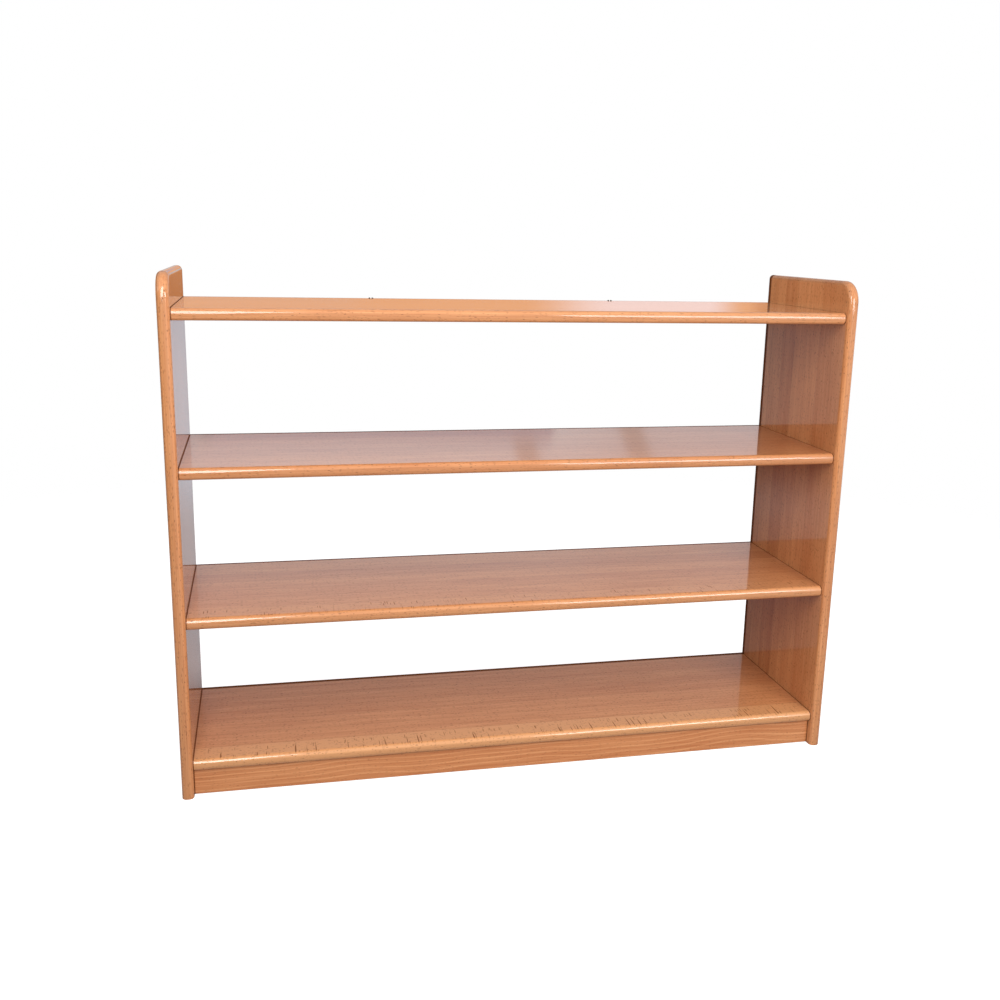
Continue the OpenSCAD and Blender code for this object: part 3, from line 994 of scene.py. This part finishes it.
# %% Directions
world = bpy.data.worlds.new("studio")
world.use_nodes = True
bpy.context.scene.world = world
room = Tree(world.node_tree)
x, y, z = room.split(room.node("ShaderNodeTexCoord", None, None, "Generated"))
azimuth = room.math("ARCTAN2", x, y) * (180 / math.pi)
elevation = room.math("ARCSINE", z) * (180 / math.pi)


def window(value, low, high, soft):
    """1 between two angles and 0 outside, with soft edges."""
    return value.rises(low - soft, low + soft) * value.rises(high + soft, high - soft)


print("directions:", len(room.tree.nodes), "nodes")

# %% [markdown]
# The room is painted part over part, through windows of angles. First come the dim corner on the left
# and the pale panels, whose foot hangs lower on the right and whose gaps lean a little.

# %% Panels
PANEL_FOOT, FOOT_DROP = 10.3, 7.8
GAP_MIDDLES, GAP_LEAN, GAP_TURN = (13.5, 19.5), 0.4, 11

light = room.mix(FRONT_LEFT, FRONT_RIGHT, azimuth.rises(-5, 5))
light = room.mix(light, BACK_LEFT, window(azimuth, -90, -14, 4))
light = room.mix(light, GREY_BAND, window(azimuth, -3, 100, 0.5) * window(elevation, -90, 12, 0.4))
light = room.mix(light, LEFT_GREY, window(azimuth, -16, -3, 0.5) * window(elevation, 3, 24, 1))
panel_foot = PANEL_FOOT - FOOT_DROP * azimuth.rises(14.5, 16.5)
panels = window(azimuth, -14, 100, 3) * elevation.rises(panel_foot - 0.3, panel_foot + 0.3)
panel = room.mix(PANEL_LEFT, PANEL_RIGHT, azimuth.rises(14, 20))
panel = room.mix(PANEL_TOP, panel, elevation.rises(26, 13))
light = room.mix(light, panel, panels)
slant = azimuth - (elevation - GAP_TURN) * GAP_LEAN
left_gap, right_gap = ((slant - middle).size().rises(0.8, 0.4) for middle in GAP_MIDDLES)
light = room.mix(light, GAP, panels * left_gap.most(right_gap) * elevation.rises(16, 12) * 0.6)
print("with panels:", len(room.tree.nodes), "nodes")

# %% [markdown]
# Over them comes the warm wall at eye level, with a lit part on the right and the light strip across it.
# Straight behind, the wall ends a little lower, and from there leftwards the strip reaches higher.

# %% Warm wall
WALL_HEAD, HEAD_DIP = 5.2, 0.6
STRIP_FOOT, STRIP_HEAD, STRIP_RISE, STRIP_SOFT = 0.2, 1.9, 0.8, 0.15

wall = room.mix(WALL_LOW, WALL_HIGH, elevation.rises(-3, 3))
wall = room.mix(wall, WALL_LIT, azimuth.rises(13, 18) * azimuth.rises(24.4, 22.4))
wall = room.mix(wall, WALL_DARK, azimuth.rises(24.3, 25.3))
wall_head = WALL_HEAD - HEAD_DIP * window(azimuth, -9, 6, 2)
walls = elevation.rises(-8.5, -7.5) * elevation.rises(wall_head, wall_head - 0.3)
light = room.mix(light, wall, window(azimuth, -40, 40, 1) * walls)
strip_head = STRIP_HEAD + STRIP_RISE * azimuth.rises(6, 4)
strip = window(elevation, STRIP_FOOT, strip_head, STRIP_SOFT)
light = room.mix(light, STRIP, window(azimuth, -18, 40, 1) * strip)
print("with the wall:", len(room.tree.nodes), "nodes")

# %% [markdown]
# Last come a bright wall far out on the left, the ceiling and the paper. Only the eye itself is given
# plain white, as behind a catalogue picture.

# %% Room
ceiling = room.mix(CEILING_FRONT, CEILING_BACK, azimuth.size().rises(110, 70))
light = room.mix(light, LEFT_WALL, window(azimuth, -130, -80, 8) * elevation.rises(12, 16))
light = room.mix(light, ceiling, elevation.rises(26, 34))
light = room.mix(light, PAPER_FAR, elevation.rises(-3.6, -4.4) * azimuth.rises(-17, -7))
light = room.mix(light, PAPER_LEFT, window(azimuth, -40, -16, 2) * window(elevation, -9.2, -3.8, 0.4))
light = room.mix(light, (1, 1, 1, 1), room.node("ShaderNodeLightPath", None, None, "Is Camera Ray"))
room.tree.links.new(light.socket, world.node_tree.nodes["Background"].inputs["Color"])
print("room:", len(room.tree.nodes), "nodes")

# %% [markdown]
# The paper is a plain sheet for everything but the eye: the unit stands on it, and the boards mirror
# its soft grey. Shade and light are painted into that grey: it is dim as if in shade everywhere, and
# painted lighter behind the unit on the left. A catalogue page has its ground whitened out, so to the
# eye the sheet also glows, just enough to keep a breath of shadow.

# %% Paper
PAPER_REACH = 2.4
FADE_FROM, FADE_TO = PAPER_REACH * 0.6, PAPER_REACH * 0.98
PAPER_GREY = (0.66, 0.66, 0.69, 1)
PAPER_DIM = (0.33, 0.33, 0.35, 1)
PAPER_SEEN = (0.60, 0.60, 0.60, 1)
GLOW = 0.75

paper_mesh = bpy.data.meshes.new("paper")
shape = bmesh.new()
bmesh.ops.create_circle(shape, cap_ends=True, segments=96, radius=PAPER_REACH)
shape.to_mesh(paper_mesh)
shape.free()
paper = hold(paper_mesh)
material, tree, shader, place = new_material("white_paper")
px, py, _ = tree.split(place)
fibre = tree.noise(tree.vector(px * 900, py * 900, 0.0), 2.0)
reach = (px * px + py * py) ** 0.5
far = reach.rises(FADE_FROM, FADE_TO)
# Painted light and shade on the sheet: lighter behind the unit on the left, dim elsewhere.
lit = py.rises(0.20, 0.45) * px.rises(0.05, -0.30)
seen = tree.node("ShaderNodeLightPath", None, None, "Is Camera Ray")
tone = tree.mix(tree.mix(PAPER_DIM, PAPER_GREY, lit), PAPER_SEEN, seen)
feed(tree, shader, Base_Color=tree.scaled(tone, 0.98 + 0.04 * fibre), Roughness=0.9,
     Specular_IOR_Level=0.0, Emission_Color=tree.mix((0, 0, 0, 1), (GLOW, GLOW, GLOW, 1), seen),
     Emission_Strength=1.0, Alpha=1 - far)
paper_mesh.materials.append(material)
print("paper reaches", PAPER_REACH, "m")

# %% [markdown]
# Two soft boxes stand in front, left and right, about a metre up, and look down on the unit. Each leaves
# a bright line on the rounded noses, towards its own end of the shelves.

# %% Soft boxes
def soft_box(name, place, aim, width, height, power):
    lamp = bpy.data.lights.new(name, "AREA")
    lamp.shape = "RECTANGLE"
    lamp.size = width
    lamp.size_y = height
    lamp.energy = power
    holder = bpy.data.objects.new(name, lamp)
    holder.location = place
    holder.rotation_euler = (Vector(aim) - Vector(place)).to_track_quat("-Z", "Y").to_euler()
    holder.visible_camera = False
    bpy.context.scene.collection.objects.link(holder)


soft_box("left_soft_box", place=(-0.56, -1.20, 1.15), aim=(0.1, 0, 0.45),
         width=0.35, height=1.0, power=12.5)
soft_box("right_soft_box", place=(0.85, -1.55, 1.00), aim=(0.1, 0, 0.40),
         width=0.80, height=0.7, power=18)
print("soft boxes: 2")

# %% [markdown]
# The camera stands to the left of the middle and looks down a little. Its place and angles were worked
# out from the photograph's straight edges, which also ask for a small shift of the lens.

# %% Camera
LENS, SENSOR = 39.774, 36
SHIFT_X, SHIFT_Y = -0.0216, 0.0025
YAW, PITCH, ROLL = 13.267, 13.454, 1.334
EYE = (-0.3940, -1.7749, 0.8556)

camera_data = bpy.data.cameras.new("camera")
camera_data.lens = LENS
camera_data.sensor_width = SENSOR
camera_data.shift_x = SHIFT_X
camera_data.shift_y = SHIFT_Y
camera = bpy.data.objects.new("camera", camera_data)
turn = Matrix.Rotation(math.radians(-YAW), 4, "Z") @ Matrix.Rotation(math.radians(90 - PITCH), 4, "X")
turn = turn @ Matrix.Rotation(math.radians(ROLL), 4, "Z")
camera.matrix_world = Matrix.Translation(EYE) @ turn
bpy.context.scene.collection.objects.link(camera)
bpy.context.scene.camera = camera
bpy.context.scene.view_settings.view_transform = "Standard"
print("camera lens:", round(LENS, 1), "mm")
